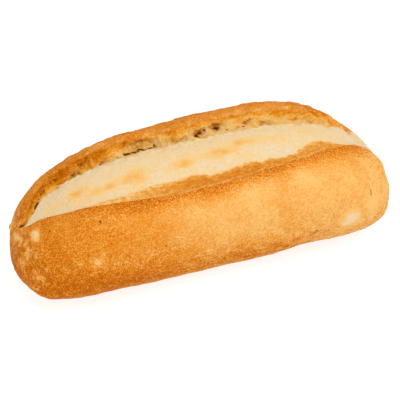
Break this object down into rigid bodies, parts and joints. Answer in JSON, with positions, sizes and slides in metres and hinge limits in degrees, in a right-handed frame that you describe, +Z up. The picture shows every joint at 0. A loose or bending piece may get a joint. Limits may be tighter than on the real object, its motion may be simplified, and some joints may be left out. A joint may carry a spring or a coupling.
{
  "type": "bolillo roll",
  "caption": "Oblong crusty white bread roll with one lengthwise slash: a pale burst band under a torn, pitted back lip, over a golden crust.",
  "frame": {"origin": "centre of the flat base, on the surface it rests on", "axes": "+X along the roll towards its broader end, +Y towards the torn back lip of the slash, +Z up"},
  "size_m": [0.16, 0.0705, 0.0499],
  "materials": {
    "crust": null
  },
  "bodies": {
    "root": {"roll": "crust"}
  },
  "joints": []
}
